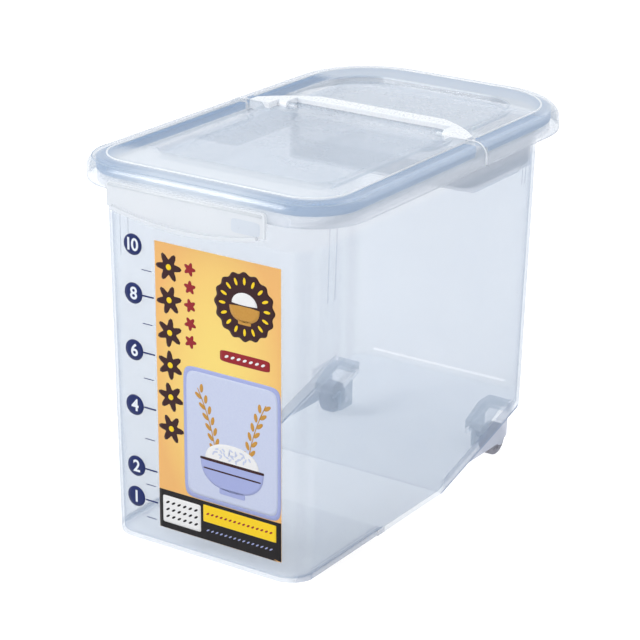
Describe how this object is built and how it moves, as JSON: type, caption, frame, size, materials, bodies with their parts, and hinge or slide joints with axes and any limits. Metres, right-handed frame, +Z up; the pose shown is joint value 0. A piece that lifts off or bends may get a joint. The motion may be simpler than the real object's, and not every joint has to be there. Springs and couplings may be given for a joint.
{
  "type": "rice storage bin",
  "caption": "Tall clear rice bin with a hinged front flap and rear lid on a rim seal, a front clasp, a sliding tray under the lid and two small rear wheels.",
  "frame": {"origin": "centre of the bounding box at the floor the bin stands on", "axes": "+X to the bin's right seen from the front, +Y from the front to the rear, +Z up"},
  "size_m": [0.2262, 0.3792, 0.2843],
  "materials": {
    "tub_plastic": "clear, slightly blue polypropylene",
    "lid_plastic": "clear, pale blue",
    "seal_rubber": "soft blue silicone",
    "white_plastic": "white",
    "clasp_plastic": "frosted white",
    "tray_plastic": "clear",
    "wheel_plastic": "smoky grey, matte",
    "pin_plastic": "natural white",
    "label_paper": "printed paper"
  },
  "bodies": {
    "tub_body": {"tub": "tub_plastic", "axle_right": "pin_plastic", "axle_left": "pin_plastic", "front_label": "label_paper"},
    "rear_lid_body": {"rear_lid": "lid_plastic", "hinge_bar": "white_plastic", "hinge_pins": "pin_plastic", "rear_seal": "seal_rubber"},
    "flap_body": {"front_lid": "lid_plastic", "front_seal": "seal_rubber"},
    "clasp_body": {"front_clasp": "clasp_plastic", "clasp_pins": "pin_plastic"},
    "tray_body": {"tray": "tray_plastic"},
    "wheel_right_body": {"wheel_right": "wheel_plastic"},
    "wheel_left_body": {"wheel_left": "wheel_plastic"}
  },
  "joints": [
    {"name": "rear_lid_lift", "type": "slide", "parent": "tub_body", "child": "rear_lid_body", "axis": [0, 0, 1], "range_m": [0, 0.08]},
    {"name": "flap_hinge", "type": "hinge", "parent": "rear_lid_body", "child": "flap_body", "pos_m": [0, 0.04115, 0.2798], "axis": [-1, 0, 0], "range_deg": [0, 105]},
    {"name": "clasp_hinge", "type": "hinge", "parent": "flap_body", "child": "clasp_body", "pos_m": [0, -0.18165, 0.2723], "axis": [-1, 0, 0], "range_deg": [0, 60]},
    {"name": "tray_slide", "type": "slide", "parent": "tub_body", "child": "tray_body", "axis": [0, -1, 0], "range_m": [0, 0.095]},
    {"name": "wheel_right_turn", "type": "hinge", "parent": "tub_body", "child": "wheel_right_body", "pos_m": [0.076, 0.12065, 0.013], "axis": [1, 0, 0], "continuous": true},
    {"name": "wheel_left_turn", "type": "hinge", "parent": "tub_body", "child": "wheel_left_body", "pos_m": [-0.076, 0.12065, 0.013], "axis": [1, 0, 0], "continuous": true}
  ]
}
